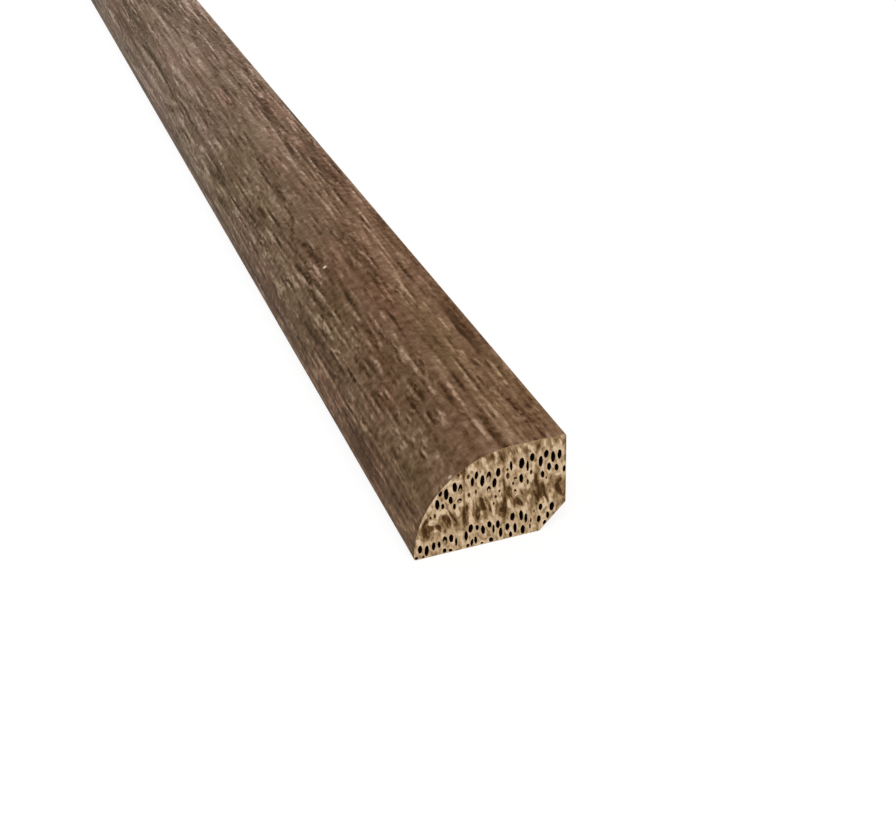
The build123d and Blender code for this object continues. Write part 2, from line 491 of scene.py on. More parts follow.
side_numbers = np.arange(relief.size).reshape(relief.shape)
turned = np.roll(side_numbers, -1, axis=1)
quads = np.stack([side_numbers[:-1], turned[:-1], turned[1:], side_numbers[1:]], axis=2).reshape(-1, 4)
print(f"{len(quads)} quads on the sides, relief from {relief.min():.3f} to {relief.max():.3f} mm")

# %% [markdown]
# A sawn end shows how the blank was made. Four strips of the cane's wall stand side by side, glued
# along upright lines, and in each strip the vessels are open pores, black and taller than wide. They
# lie in two bands, with a brown heart between them. The pores are real holes, because they are the first
# thing that one sees, and they are placed as the photo shows them. Most are open. Some are filled just
# under the saw cut: a plug of pale tissue leaves only a dark groove round itself, and a shallow pit is
# all that is left of others. Vessels run the length of the stick and wander a little on the way, so the
# far end has the same pores, each moved by a seeded draw.

# %% Place the pores of an end
GLUE_LINES = (6.35, 11.3, 15.4)  # joints between the strips, in mm from the toe
PORE_SIDES = 14
RIM_WOBBLE = 0.09  # how far a rim leaves its ellipse at most, in or out, as a share of its size
PORE_MARGIN = 0.06  # mm of wood left between a pore and the edge of the section
WEB = 0.03  # mm of wood left between two pores, at least
LEAN_SPREAD = 0.05  # mm across to a mm up
VESSEL_WANDER = 0.12  # mm by which a pore has moved at the far end
VARIETY = 40  # how fast the shape of a rim changes with its place
HALVINGS = 15  # of the way from a pore's middle to the edge of the section
ROUNDING = 1e-9  # mm, less than any real distance
BEVEL_REACH = foot_centre[0] + 2 * bevel_side - EASE  # x less z, anywhere on the bevel
OPEN, PLUGGED, PIT = range(3)  # kinds of pore

# Each pore: its place from the toe, its height, and the width and height of its mouth, in mm
open_pores = [
    (3.47, 8.48, 0.52, 0.98), (4.22, 8.15, 0.58, 1.6), (5.27, 8.83, 0.56, 1.38), (3.1, 7.02, 0.6, 1.34),
    (4.73, 7.2, 0.5, 1.14), (3.75, 6.6, 0.4, 0.78), (5.16, 6.22, 0.4, 0.84), (7.42, 9.02, 0.44, 1.26),
    (7.92, 9.8, 0.44, 1.16), (8.62, 8.88, 0.58, 1.5), (10.58, 9.52, 0.56, 1.28), (10.1, 8.22, 0.56, 1.32),
    (12.18, 10.02, 0.37, 1.28), (13.48, 10.05, 0.68, 1.58), (14.22, 9.5, 0.34, 1.52),
    (14.8, 10.54, 0.64, 1.08), (15.85, 9.72, 0.54, 1.56), (16.54, 10.58, 0.6, 1.12),
    (17.4, 9.98, 0.58, 1.5), (18.22, 10.12, 0.56, 1.28), (16.9, 8.76, 0.56, 1.06),
    (17.85, 8.42, 0.52, 0.98), (16.1, 7.88, 0.48, 1), (13.42, 7.98, 0.53, 1.24), (18.82, 8, 0.38, 0.9),
    (0.78, 1.36, 0.56, 1.14), (1.58, 0.98, 0.58, 1.46), (2.44, 1.38, 0.5, 1.12), (3.12, 1.43, 0.38, 1),
    (4.62, 1.92, 0.54, 1.18), (5.21, 1.25, 0.32, 1.2), (0.29, 0.26, 0.46, 0.42), (1.12, 0.22, 0.36, 0.34),
    (3.75, 0.38, 0.5, 0.7), (4.48, 0.26, 0.5, 0.44), (6.47, 1.75, 0.5, 1.34), (7.05, 2.65, 0.58, 1.22),
    (7.85, 2.56, 0.46, 0.76), (8.58, 2.05, 0.52, 1.28), (9.38, 2.6, 0.6, 0.94), (9.88, 1.82, 0.32, 1.24),
    (10.44, 2.34, 0.54, 1.12), (7.16, 0.64, 0.37, 0.98), (7.63, 0.84, 0.38, 1.16),
    (6.64, 0.32, 0.42, 0.52), (8.4, 0.22, 0.36, 0.32), (9.56, 0.37, 0.58, 0.68), (10.77, 1.08, 0.5, 1.32),
    (11.63, 1.68, 0.54, 1.06), (12.02, 0.44, 0.46, 0.86), (12.29, 2.92, 0.6, 1.2),
    (12.59, 1.25, 0.45, 1.44), (13.38, 2.82, 0.52, 1.52), (13.98, 2.28, 0.41, 1.32),
    (13.57, 0.74, 0.56, 1.32), (15.62, 1.72, 0.54, 0.96), (15.84, 3.38, 0.52, 0.92),
    (17.28, 3.1, 0.6, 1.3), (16.76, 1.98, 0.44, 0.98), (16.36, 1, 0.46, 0.7),
]
plugged_pores = [
    (5.95, 8.42, 0.54, 1.34), (9.42, 9.22, 0.6, 1.52), (9.4, 7.5, 0.52, 0.92), (5.8, 6.86, 0.58, 0.66),
    (3.86, 1.8, 0.58, 1.32), (12.64, 6.35, 0.34, 0.8),
]
pits = [
    (6.92, 9.84, 0.36, 0.64), (6.95, 7.35, 0.32, 0.7), (11.75, 8.76, 0.44, 0.92),
    (11.72, 9.61, 0.28, 0.48), (12.68, 8.22, 0.48, 0.38), (14.66, 8.55, 0.34, 0.7),
    (12.41, 7.54, 0.3, 0.54), (14.22, 7.32, 0.32, 0.76), (10.7, 6.95, 0.3, 0.38),
    (10.22, 6.27, 0.32, 0.54), (2.22, 5.38, 0.3, 0.46), (2.74, 5.52, 0.32, 0.62),
    (14.6, 1.78, 0.24, 0.66), (14.5, 1, 0.24, 0.74), (15.02, 3, 0.18, 0.46), (9.95, 5.4, 0.24, 0.44),
    (7.8, 7.58, 0.26, 0.7), (16.55, 7.3, 0.2, 0.46),
]


def keep_inside(points, margin):
    """Points on the section, drawn in where they come nearer to its edge than the margin."""
    x = points[:, 0].clip(None, BACK - margin)
    z = points[:, 1].clip(margin, TOP - margin)
    past_bevel = (x - z - BEVEL_REACH + margin * math.sqrt(2)).clip(0) / 2
    x = x - past_bevel
    z = z + past_bevel
    from_centre = np.stack([x - round_centre[0], z - round_centre[1]], axis=1)
    distance = np.linalg.norm(from_centre, axis=1).clip(ROUNDING)
    shrink = np.where(x < ROUND_END, ((ROUND - margin) / distance).clip(None, 1), 1)
    return np.array(round_centre) + from_centre * shrink[:, None]


def pore_mouth(pore):
    """The rim of a pore: points round a leaning ellipse, cut off where it would leave the section."""
    middle, half_wide, half_tall, lean = np.array(pore[:2]), *pore[2:5]
    turn = np.arange(PORE_SIDES) * 2 * math.pi / PORE_SIDES
    up = half_tall * np.sin(turn)
    spokes = np.stack([half_wide * np.cos(turn) + lean * up, up], axis=1)
    odd = VARIETY * middle.sum()  # an angle that differs from pore to pore
    spokes *= 1 + RIM_WOBBLE * (np.sin(2 * turn + odd) + np.sin(5 * turn + 2 * odd))[:, None] / 2
    share = np.ones(PORE_SIDES)
    for step in 0.5 ** np.arange(1, HALVINGS + 1):  # halve the way to the edge until it is met
        rim = middle + spokes * share[:, None]
        outside = np.abs(keep_inside(rim, PORE_MARGIN) - rim).max(axis=1) > ROUNDING
        share = np.where(outside, share - step, share + step).clip(None, 1)
    return middle + spokes * share[:, None]


def from_pores(points, pores):
    """How far each point lies from the nearest pore, in mm."""
    nearest = np.full(len(points), np.inf)
    for x, z, half_wide, half_tall, lean, _ in pores:
        up = points[:, 1] - z
        aside = points[:, 0] - x - lean * up
        nearest = np.minimum(nearest, (np.hypot(aside / half_wide, up / half_tall) - 1) * half_wide)
    return nearest


def place_pores(draw, wander):
    """Pores of an end, and their rims. A pore: place across and up, half width and height, lean, kind."""
    pores, rims = [], []
    for kind, wanted in ((OPEN, open_pores), (PLUGGED, plugged_pores), (PIT, pits)):
        for from_toe, up, width, height in wanted:
            middle = np.array([[TOE + from_toe, up]]) + draw.normal(0, wander, (1, 2))
            x, z = keep_inside(middle, 2 * PORE_MARGIN)[0]
            pore = (x, z, width / 2, height / 2, draw.normal(0.0, LEAN_SPREAD), kind)
            rim = pore_mouth(pore)
            gaps = [from_pores(other, [pore]).min() for other in rims]
            gaps.append(from_pores(rim, pores).min())
            if min(gaps) > WEB:
                pores.append(pore)
                rims.append(rim)
            elif wander == 0:
                print("left out for want of room:", (from_toe, up))
    return pores, rims


near_pores, near_rims = place_pores(np.random.default_rng(3), 0.0)
far_pores, far_rims = place_pores(np.random.default_rng(4), VESSEL_WANDER)
wanted_pores = len(open_pores + plugged_pores + pits)
print(f"of {wanted_pores} pores the near end has {len(near_pores)} and the far end {len(far_pores)}")

# %% [markdown]
# A saw leaves an end flat but rough, and this one is full of holes as well. They could be cut out with a
# boolean, but so many would leave it in slivers. So the end is filled in its own plane: the outline, the
# rims and a jittered grid of points between them are joined to triangles by a Delaunay fill, which
# crosses none of the edges that it is given. The triangles inside a pore are left out, and the points of
# the grid sink by a random trifle, as a saw leaves them.

# %% Fill an end round its pores
NEAR_FACE_PITCH, FAR_FACE_PITCH = 0.14, 0.28  # mm between the points that roughen an end
SAW_ROUGHNESS = 0.02  # mm
JITTER, EDGE_ROOM, PORE_ROOM = 0.3, 0.5, 0.4  # shares of the pitch
WELD = 1e-6  # mm within which two points count as one


def covers_pore(corners, owner, points):
    """Whether a triangle has all its corners on one pore's rim and lies inside it."""
    first, second, third = sorted(corners)
    if owner[first] < 0 or owner[first] != owner[second] or owner[second] != owner[third]:
        return False
    one_way, other_way = points[second] - points[first], points[third] - points[first]
    return one_way[0] * other_way[1] > one_way[1] * other_way[0]


def fill_end(ring, pores, rims, pitch, draw):
    """Points of an end in its own plane, its triangles, and the numbers of each pore's rim."""
    across = np.arange(TOE, BACK, pitch)
    grid = np.stack(np.meshgrid(across, np.arange(0, TOP, pitch)), axis=2).reshape(-1, 2)
    grid = grid + draw.uniform(-JITTER, JITTER, grid.shape) * pitch
    settled = np.linalg.norm(keep_inside(grid, EDGE_ROOM * pitch) - grid, axis=1) < ROUNDING
    grid = grid[settled & (from_pores(grid, pores) > PORE_ROOM * pitch)]
    points = np.concatenate([ring, *rims, grid])
    loops = [np.arange(len(ring))]
    owner = np.full(len(points), -1)
    for number in range(len(rims)):
        loops.append(np.arange(PORE_SIDES) + loops[-1][-1] + 1)
        owner[loops[-1]] = number
    edges = [edge for loop in loops for edge in zip(loop.tolist(), np.roll(loop, -1).tolist())]
    inside_edges = 1
    filled = delaunay_2d_cdt([Vector(point) for point in points], edges, [], inside_edges, WELD)
    came_from = [origin[0] for origin in filled[3]]
    triangles = [[came_from[corner] for corner in face] for face in filled[2]]
    return points, [face for face in triangles if not covers_pore(face, owner, points)], loops[1:]


print("an end can be filled")

# %% [markdown]
# Between the two bands of pores each strip has its heart, where the saw has torn the soft wood and it
# has gone brown, with pale fibres slanting through it. Along the top the brown stands in upright bars.
# These blots and rays are placed as in the photo, and the finish below gives them ragged edges.

# %% Place the blots and rays of an end
# Each mark: its place from the toe and height, its half width and half height in mm, its lean, its strength
blots = [
    (1.6, 3.2, 0.52, 1.05, 0, 1.4), (2.3, 3.95, 1.05, 0.34, 0, 1.3), (3.25, 3.65, 0.2, 0.55, -0.3, 1.2),
    (1.6, 4.75, 0.36, 0.6, 0.1, 1), (4.1, 4.7, 0.46, 0.75, -0.4, 1.7), (4.4, 3.75, 0.25, 0.55, -0.3, 0.9),
    (5, 4.7, 0.21, 1.25, -0.5, 1.4), (6.3, 4.4, 0.3, 1.6, 0, 1), (6.72, 5.6, 0.18, 0.6, 0, 1),
    (6.35, 8, 0.17, 1.4, 0, 0.9), (7.95, 4.3, 0.33, 1, 0, 1.4), (8.45, 5.7, 0.56, 0.66, -0.2, 1.7),
    (8.8, 4.95, 0.26, 0.4, -0.3, 1.1), (8.2, 6.35, 0.4, 0.4, 0, 1), (9.32, 5.3, 0.21, 1.2, -0.3, 1.4),
    (11.05, 3.9, 0.52, 0.85, 0, 1.6), (11.36, 5.2, 0.26, 1.1, 0, 1.1), (11.95, 6.6, 0.34, 0.75, 0, 1.4),
    (12.62, 5.4, 0.3, 1, -0.7, 1.3), (13.15, 4.75, 0.36, 0.62, -0.5, 1.4),
    (12.52, 4.55, 0.18, 0.6, -0.1, 1.1), (13.5, 6, 0.17, 0.6, -0.4, 1.1),
    (15.1, 5.45, 0.19, 0.6, -0.3, 1.2), (15.5, 4.5, 0.18, 0.55, -0.3, 1.2), (15.95, 5.7, 0.46, 1, 0, 2),
    (15.75, 6.8, 0.32, 0.4, -0.2, 1.2), (16.68, 4.4, 0.17, 0.9, -0.35, 1.2),
    (16.6, 3.02, 0.28, 0.2, 0, 1.1), (18, 5.5, 0.36, 0.9, -0.15, 1.5), (18.45, 4.8, 0.18, 0.7, -0.3, 1),
    (18.88, 4.45, 0.13, 0.4, 0, 1.2), (18.3, 6.6, 0.36, 0.42, 0, 1), (15.18, 7.4, 0.23, 1.1, 0, 1.2),
    (11.3, 7.9, 0.22, 1.2, 0, 0.8), (10.98, 11.5, 0.27, 1, -0.2, 1), (11.7, 11.4, 0.15, 0.6, -0.2, 0.7),
    (12.62, 11.7, 0.2, 0.7, 0, 0.7), (13.85, 11.7, 0.26, 0.7, 0, 0.7),
    (15.6, 11.75, 0.42, 0.85, -0.1, 0.8), (17, 12.1, 0.2, 0.5, -0.3, 0.6),
    (17.75, 12, 0.18, 0.7, -0.4, 0.7), (18.68, 11.5, 0.28, 0.75, 0, 0.6), (9.62, 10.4, 0.3, 0.32, 0, 0.8),
    (8.14, 11.1, 0.21, 0.8, 0, 1), (6.44, 10.2, 0.19, 0.9, 0, 1.1), (5.6, 10.2, 0.3, 0.5, 1.2, 2),
    (9.62, 11.5, 0.18, 0.7, 0, 0.7), (15.68, 1.08, 0.16, 0.4, -0.2, 1), (2.02, 5.55, 0.2, 0.75, 0.5, 1.2),
]
rays = [
    (4.52, 5.05, 0.1, 1, -0.4, 1.6), (2.45, 4.62, 0.56, 0.36, 0, 1.8), (1.64, 5.85, 0.25, 1.1, 0.56, 2.2),
    (3.05, 5.2, 0.18, 0.5, 0.2, 1.2), (5.5, 5.2, 0.26, 0.65, -0.3, 1.1), (5.95, 6.25, 0.32, 0.45, 0, 1.1),
    (0.72, 2.75, 0.28, 0.95, 0.15, 1.1), (3.7, 5.8, 0.55, 0.34, 0, 1.3), (7.1, 4.4, 0.38, 0.95, 0, 1),
    (7.22, 5.9, 0.22, 0.5, 0, 1.1), (7.05, 6.65, 0.28, 0.38, 0, 1.2), (8.96, 5.7, 0.1, 1.05, -0.3, 1.6),
    (8.52, 4.42, 0.24, 0.5, -0.2, 1.1), (10.7, 5.8, 0.42, 0.8, 0, 1.2), (9.9, 4.4, 0.3, 0.8, -0.2, 0.9),
    (11.88, 5, 0.24, 0.9, 0, 1.2), (12.76, 6, 0.13, 0.5, -0.4, 1.3), (14.4, 5.1, 0.48, 1.4, 0, 0.8),
    (16.4, 4.3, 0.12, 0.9, -0.36, 1.5), (16.3, 3.46, 0.19, 0.38, 0, 2.2), (17.3, 5.1, 0.32, 1.2, 0, 0.9),
    (11.52, 0.9, 0.24, 0.4, -0.3, 1.3), (7.3, 10.95, 0.46, 0.5, 0.2, 1.3),
    (8.96, 11.3, 0.38, 0.9, 0, 1.2), (6, 10.2, 0.17, 0.5, 0, 1.3), (10.35, 11.6, 0.27, 0.85, 0, 1.2),
    (12.15, 11.8, 0.18, 0.65, 0, 1.1), (13.2, 11.8, 0.21, 0.7, 0, 1.1), (14.55, 11.9, 0.44, 0.6, 0, 1.1),
    (16.35, 11.8, 0.22, 0.7, 0, 1), (17.35, 11.7, 0.17, 0.7, -0.3, 1.1),
    (18.32, 11.9, 0.14, 0.55, -0.3, 1.4), (12.5, 9.75, 0.28, 0.45, 0, 1.4),
    (14.95, 9.6, 0.24, 0.5, 0, 1.3), (14.7, 7.75, 0.3, 0.6, 0, 1.3), (18.1, 7.4, 0.42, 0.32, 0, 1.2),
    (13.4, 7.05, 0.38, 0.36, 0, 1.2), (5.75, 9.44, 0.32, 0.17, -0.4, 1.4), (2.7, 3.42, 0.24, 0.34, 0, 1),
    (2.75, 7.75, 0.24, 0.8, 0.75, 1.5), (4.45, 9.4, 0.4, 0.4, 0.6, 1.2),
]


def mark_end(flat, marks, wander, draw):
    """The sum of soft marks at points of an end, each mark moved a little by the draw."""
    total = np.zeros(len(flat))
    for from_toe, up, half_wide, half_tall, lean, strength in marks:
        above = flat[:, 1] - up - draw.normal(0, wander)
        aside = flat[:, 0] - TOE - from_toe - draw.normal(0, wander) - lean * above
        total += strength * np.exp(-((aside / half_wide) ** 2) - (above / half_tall) ** 2)
    return total


print(f"{len(blots)} blots and {len(rays)} rays on an end")

# %% [markdown]
# A vessel is a tube that runs on into the wood, but only its first millimetres can be seen. So an open pore
# is a wall that narrows to a black floor, a sheet of painted shade where the tube runs on. In a plugged one
# the wall turns back up to its plug, and a pit has its floor just under the cut. Each end has its own place
# on the map that the finish is baked to, and each pore has a small cell there for its wall and its floor.

# %% Add both ends to the sides
STAINED, RAW, SAWN, PORE = range(4)  # numbers of the finishes
MAP_SIDE = 1024  # pixels of the map that the finish is baked to
END_SCALE = 12.0  # map pixels to a mm on the ends
PORE_CELL = 14  # map pixels to the side of a pore's own place
CELLS_IN_ROW = 16
WALL_PIXELS = (12, 7)  # map pixels along and down the wall of a pore
FLOOR_PLACE, FLOOR_RADIUS = (6, 10), 2  # map pixels, of a pore's floor in its cell
ENDS_UP = 864  # map pixels from the bottom of the map to the ends
# Corners on the map of each end and of its pores' cells, in pixels
NEAR_PLACES = ((4, ENDS_UP), (490, ENDS_UP))
FAR_PLACES = ((247, ENDS_UP), (740, ENDS_UP))
MARK_WANDER = 0.3  # mm by which a blot or a ray has moved at the far end
HALO_WIDTH = 0.32  # mm of pale wood round a pore
PLUG_PALE = 0.5  # how pale a plug is, as wood beside a pore is
PLUG_DROP = 0.23  # how far a plug sits below the middle of its pore, as a share of the pore's height
# Painted shade at the rim of each kind of pore
RIM_DARKNESS = {OPEN: 0.10, PLUGGED: 0.08, PIT: 0.0}
# Rings of a pore from its rim inwards: shares of the mouth's width and height, depth in mm, and darkness of
# its painted shade
PORE_RINGS = {
    OPEN: [((0.80, 0.80), 2.6, 1.0)],
    PLUGGED: [((0.88, 0.88), 0.6, 0.30), ((0.66, 0.50), 0.06, 0.17)],
    PIT: [((0.70, 0.70), 0.25, 0.06)],
}

points = [side_points.reshape(-1, 3)]
faces, finishes, layout = [], [], []
halo, brown, pale, depth = [], [], [], []  # pairs of point numbers and their values


def point_count():
    """How many points the stick has so far."""
    return sum(len(block) for block in points)


def add_face(corners, inward, finish, places):
    """Add a face that looks out of the end, with its corners' places on the map in pixels."""
    order = slice(None) if inward > 0 else slice(None, None, -1)
    faces.append([int(corner) for corner in corners][order])
    finishes.append(finish)
    layout.extend(np.asarray(places)[order] / MAP_SIDE)


def add_pore(mouth, above, end_y, inward, kind, cell):
    """Sink a pore from the numbers of its rim, ring by ring, with its walls in a cell of the map."""
    middle = mouth.mean(axis=0)
    drop = np.array((0, PLUG_DROP * np.ptp(mouth[:, 1])))
    # Each ring keeps how dark its painted shade is, from the rim down.
    depth.append((above, np.full(PORE_SIDES, RIM_DARKNESS[kind])))
    across = np.linspace(0, WALL_PIXELS[0], PORE_SIDES + 1)
    down = np.linspace(0, WALL_PIXELS[1], len(PORE_RINGS[kind]) + 1)
    for number, (shares, deep, darkness) in enumerate(PORE_RINGS[kind]):
        ring = middle - drop * number + (mouth - middle) * shares
        below = point_count() + np.arange(PORE_SIDES)
        points.append(np.insert(ring, 1, end_y + inward * deep, axis=1))
        depth.append((below, np.full(PORE_SIDES, darkness)))
        for side in range(PORE_SIDES):
            after = (side + 1) % PORE_SIDES
            corners = (above[side], above[after], below[after], below[side])
            columns = across[[side, side + 1, side + 1, side]]
            rows = down[[number, number, number + 1, number + 1]]
            add_face(corners, inward, PORE, cell + np.stack([columns, rows], axis=1))
        above = below
    turn = np.arange(PORE_SIDES) * 2 * math.pi / PORE_SIDES
    floor_places = cell + FLOOR_PLACE + FLOOR_RADIUS * np.stack([np.cos(turn), np.sin(turn)], axis=1)
    # The floor closes the pore. In an open one it is black, painted shade where the vessel runs on into the
    # wood.
    add_face(above, inward, SAWN if kind == PLUGGED else PORE, floor_places)
    if kind == PLUGGED:
        halo.append((above, np.full(PORE_SIDES, PLUG_PALE)))


def add_end(ring, inward, pores, rims, pitch, wander, draw, map_corner, pore_corner):
    """Fill one end of the stick. The ring is the numbers of its outline, and inward is along Y."""
    end_y = points[0][ring[0], 1]
    flat, triangles, rims = fill_end(points[0][ring][:, [0, 2]], pores, rims, pitch, draw)
    new = flat[len(ring):]
    rough = draw.random(len(new)) * (np.arange(len(new)) >= len(rims) * PORE_SIDES)
    numbers = np.concatenate([ring, point_count() + np.arange(len(new))])
    points.append(np.insert(new, 1, end_y + inward * SAW_ROUGHNESS * rough, axis=1))
    halo.append((numbers, np.exp(-from_pores(flat, pores).clip(0) / HALO_WIDTH)))
    brown.append((numbers, mark_end(flat, blots, wander, draw)))
    pale.append((numbers, mark_end(flat, rays, wander, draw)))
    places = np.array(map_corner) + (flat - (TOE, 0)) * END_SCALE
    for triangle in triangles:
        add_face(numbers[triangle], inward, SAWN, places[triangle])
    for count, (rim, pore) in enumerate(zip(rims, pores)):
        cell = np.array(pore_corner) + PORE_CELL * np.array((count % CELLS_IN_ROW, count // CELLS_IN_ROW))
        add_pore(flat[rim], numbers[rim], end_y, inward, pore[-1], cell)


near_draw, far_draw = np.random.default_rng(5), np.random.default_rng(6)
add_end(side_numbers[0], 1, near_pores, near_rims, NEAR_FACE_PITCH, 0.0, near_draw, *NEAR_PLACES)
add_end(side_numbers[-1], -1, far_pores, far_rims, FAR_FACE_PITCH, MARK_WANDER, far_draw, *FAR_PLACES)
print(f"{len(faces)} faces on the two ends")

# %% [markdown]
# The finish can also be baked to a picture for other programs, and Blender's own unwrap would spend nearly
# all of that picture on one long thin strip. So the sides are laid out: the length is cut in three, and each
# stretch is squeezed lengthwise, because grain is long and narrow and needs its pixels across. The show face
# gets more of them than the faces that nobody sees.

# %% Lay the sides out and make the mesh
STRETCHES = 3
STRETCH_PIXELS = 1000
SHOW_SCALE, HIDDEN_SCALE = 7.0, 2.8  # map pixels to a mm, round the section
MAP_GAP = 4  # pixels
SHARP_FROM = 38  # degrees between two faces from which their edge is shaded sharp

show_high = show_way[-1] * SHOW_SCALE
stretch_high = show_high + MAP_GAP + (girth[-1] - show_way[-1]) * HIDDEN_SCALE + MAP_GAP
is_shown = np.arange(len(outline)) < show_count - 1
hidden_up = show_high + MAP_GAP + (girth - show_way[-1]) * HIDDEN_SCALE
up_from = np.where(is_shown, girth[:-1] * SHOW_SCALE, hidden_up[:-1])
up_to = np.where(is_shown, girth[1:] * SHOW_SCALE, hidden_up[1:])
stretch = (row_way[:-1] * STRETCHES // LENGTH).clip(None, STRETCHES - 1)
along_from = (row_way[:-1] / LENGTH * STRETCHES - stretch) * STRETCH_PIXELS
along_to = (row_way[1:] / LENGTH * STRETCHES - stretch) * STRETCH_PIXELS

quad_layout = np.empty((len(row_way) - 1, len(outline), 4, 2))
quad_layout[:, :, 0, 0] = quad_layout[:, :, 1, 0] = along_from[:, None]
quad_layout[:, :, 2, 0] = quad_layout[:, :, 3, 0] = along_to[:, None]
base = stretch[:, None] * stretch_high
quad_layout[:, :, 0, 1] = quad_layout[:, :, 3, 1] = base + up_from
quad_layout[:, :, 1, 1] = quad_layout[:, :, 2, 1] = base + up_to
quad_layout = (quad_layout + MAP_GAP) / MAP_SIDE
quad_finish = np.tile(np.where(is_shown, STAINED, RAW), len(row_way) - 1)

stick_mesh = bpy.data.meshes.new("moulding_stick")
all_points = np.concatenate(points) * MM
stick_mesh.from_pydata(all_points.tolist(), [], quads.tolist() + faces)
stick_mesh.polygons.foreach_set("material_index", np.concatenate([quad_finish, finishes]).astype(np.int32))
bake_map = stick_mesh.uv_layers.new(name="OFBake")
corner_places = np.concatenate([quad_layout.reshape(-1, 2), layout]).astype(np.float32)
bake_map.data.foreach_set("uv", corner_places.ravel())


def store(name, pairs):
    """Keep a value for each point, which a finish can read by name; 0 where none is given."""
    values = np.zeros(len(all_points), np.float32)
    for numbers, given in pairs:
        values[numbers] = given
    stick_mesh.attributes.new(name, "FLOAT", "POINT").data.foreach_set("value", values)


show_numbers = side_numbers[:, :show_count]
store("fibre", [(show_numbers, fibres)])
store("smear", [(show_numbers, smears)])
store("hue", [(show_numbers, hues)])
store("halo", halo)
store("brown", brown)
store("pale", pale)
store("depth", depth)
stick_mesh.shade_smooth()
stick_mesh.set_sharp_from_angle(angle=math.radians(SHARP_FROM))
stick = bpy.data.objects.new("moulding_stick", stick_mesh)
bpy.context.scene.collection.objects.link(stick)
triangles = sum(len(face) - 2 for face in faces) + 2 * len(quads)
print(f"stick of {len(all_points)} points and {triangles} triangles")
print(f"the sides take {stretch_high * STRETCHES:.0f} of the map's {MAP_SIDE} pixels")

# %% [markdown]
# The stain is umber, a little redder or more olive from patch to patch, warmer along the top, and deeper and
# darker over the last two millimetres by the toe. Further from the near end it is paler and greyer, partly
# as thinner stain and partly as a painted sheen for the grazing light seen along the stick, and its streaks
# are longer. A picture of grain would repeat over six feet. Noise in the stick's own space, squeezed across
# the grain and stretched along it, runs through the wood as fibres do and needs no unwrapping. Long streaks,
# a fine mottle, short proud fibres with painted shade beside them, and the strokes add up to one value, from
# sunk and dark to rubbed and pale, and a ramp turns that into colour. Two chips show bare bamboo. The
# surface is nearly matt, and only whitens a little where one looks along it.

# %% Stain the show face
NOISE_ROUGHNESS = 0.6
# Stretches in mm over which the stain changes
PALER, BOLDER = (15, 180), (190, 240)  # from the near end
CALMER, DARKER_BY_TOE = (1.5, 7.0), (2.0, 0.0)  # from the toe
CROWNED = (-2.0, 2.0)  # from the end of the round
WARMER = (-2.0, 6.0)  # from the middle of the stick
# What the stain's colour is multiplied by
PLAIN = (1.0, 1.0, 1.0, 1)
OLIVE, REDDISH = (0.95, 1.0, 0.87, 1), (1.10, 0.95, 0.97, 1)
COOL, WARM = (1.0, 1.0, 0.94, 1), (1.12, 1.03, 0.92, 1)
# The grey one is partly a painted sheen, for the grazing light seen further along the stick
GREY_SHEEN, DEEP_BROWN = (1.17, 1.31, 1.52, 1), (0.95, 0.86, 0.76, 1)
# Each chip: its place across and along and its radius in mm, and its strength
CHIPS = [(13.7, 58.9, 0.42, 1.0), (11.7, 0.5, 0.36, 0.5)]
CHIP_CORE = 0.4  # share of the radius within which a chip is bare


def paint(red, green, blue):
    """A colour as a screen shows it, from 0 to 255, in Blender's linear values."""
    shares = [part / 255 for part in (red, green, blue)]
    return tuple(s / 12.92 if s < 0.04045 else ((s + 0.055) / 1.055) ** 2.4 for s in shares) + (1.0,)


def in_mm(wire):
    """The place in the stick's own space, in mm."""
    return wire.node("ShaderNodeTexCoord", None, None, "Object") * (1 / MM)


def past(way, start, stretch):
    """0 before a stretch that is measured from a start, and 1 past it."""
    return way.step(start + stretch[0], start + stretch[1])


def streaks(place, across, along, detail=2.0, shift=0.0):
    """Noise with patches so wide across the grain and so long along it, in mm. A shift gives others."""
    squeezed = place * (1 / across, 1 / along, 1 / across) + (shift, shift, shift)
    settings = {"Vector": squeezed, "Scale": 1.0, "Detail": detail, "Roughness": NOISE_ROUGHNESS}
    return place.node("ShaderNodeTexNoise", None, settings)


def kept(wire, name):
    """A value that the mesh keeps for each point."""
    return wire.node("ShaderNodeAttribute", {"attribute_name": name}, None, "Fac")


def ramp(value, *stops):
    """A colour that changes with a value, through stops of a value and a colour."""
    return value.node("ShaderNodeValToRGB", {"stops": stops}, {"Fac": value})


def finish_material(wire, colour, roughness, height, bump_mm, gloss):
    """Close a finish: colour, roughness, a bump of so many mm, and how strong its gloss is."""
    bump = wire.node("ShaderNodeBump", None, {"Height": height, "Strength": 1.0, "Distance": bump_mm * MM})
    surface = {"Base Color": colour, "Roughness": roughness, "Normal": bump, "Specular IOR Level": gloss}
    shader = wire.node("ShaderNodeBsdfPrincipled", None, surface)
    wire.node("ShaderNodeOutputMaterial", None, {"Surface": shader})


def chips(place):
    """1 where a splinter has left the show face and raw bamboo shows."""
    total = 0.0
    for across, along, size, strength in CHIPS:
        x, z = (np.interp(across, show_way, outline[:show_count, axis]) for axis in range(2))
        middle = (x, NEAR_END + along, z)
        away = place.node("ShaderNodeVectorMath", {"operation": "DISTANCE"}, {0: place, 1: middle}, "Value")
        total = total + away.step(size, size * CHIP_CORE) * strength
    return total


